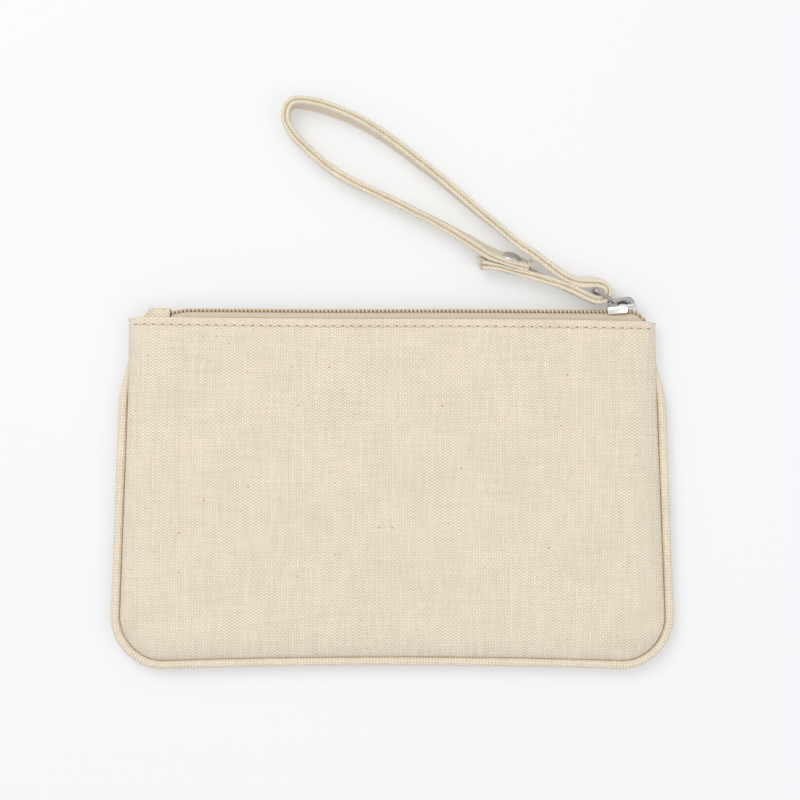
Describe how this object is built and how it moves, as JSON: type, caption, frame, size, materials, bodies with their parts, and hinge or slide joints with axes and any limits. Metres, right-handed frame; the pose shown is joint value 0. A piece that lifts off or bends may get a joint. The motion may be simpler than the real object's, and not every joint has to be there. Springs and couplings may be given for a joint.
{
  "type": "zippered pouch",
  "caption": "Flat canvas wristlet pouch with a corded piping seam, a coil zipper along the top and a riveted wrist strap on the slider's ring.",
  "frame": {"origin": "centre of the back panel's flat outer face, on the surface that the pouch lies on", "axes": "+X to the pouch's right, +Y from its bottom seam to its zipper, +Z out of the front panel"},
  "size_m": [0.227, 0.2303, 0.013],
  "materials": {
    "canvas": "matte",
    "lining": "matte",
    "filler": "matte",
    "tape": "matte",
    "coil": "satin",
    "thread": "matte",
    "nickel": "polished",
    "rivet": "satin"
  },
  "bodies": {
    "pouch": {"front_panel": "canvas", "back_panel": "canvas", "front_lining": "lining", "back_lining": "lining", "piping_cover": "canvas", "piping_cord": "filler", "seam_thread_front": "thread", "seam_thread_back": "thread", "hem_fold_front": "canvas", "hem_fold_back": "canvas", "topstitch_front": "thread", "topstitch_back": "thread", "zip_tape_front": "tape", "zip_tape_back": "tape", "zip_coil_front": "coil", "zip_coil_back": "coil", "zip_end_tab": "canvas", "zip_end_tab_stitch": "thread"},
    "slider": {"slider_body": "nickel", "slider_bridge": "nickel"},
    "puller": {"puller_ring": "nickel"},
    "strap": {"strap_inner_ply": "canvas", "strap_outer_ply": "canvas", "strap_edge_stitch": "thread", "strap_bar_tack": "thread", "rivet_cap": "rivet", "rivet_base": "rivet"}
  },
  "joints": [
    {"name": "slider_slide", "type": "slide", "parent": "pouch", "child": "slider", "axis": [-1, 0, 0], "range_m": [0, 0.165]},
    {"name": "puller_swing", "type": "hinge", "parent": "slider", "child": "puller", "pos_m": [0.0896, 0.0768, 0.0065], "axis": [0, 0, 1], "range_deg": [-80, 6]},
    {"name": "strap_swing", "type": "hinge", "parent": "puller", "child": "strap", "pos_m": [0.0807, 0.0818, 0.0065], "axis": [0, 0, 1], "range_deg": [-55, 2]}
  ]
}
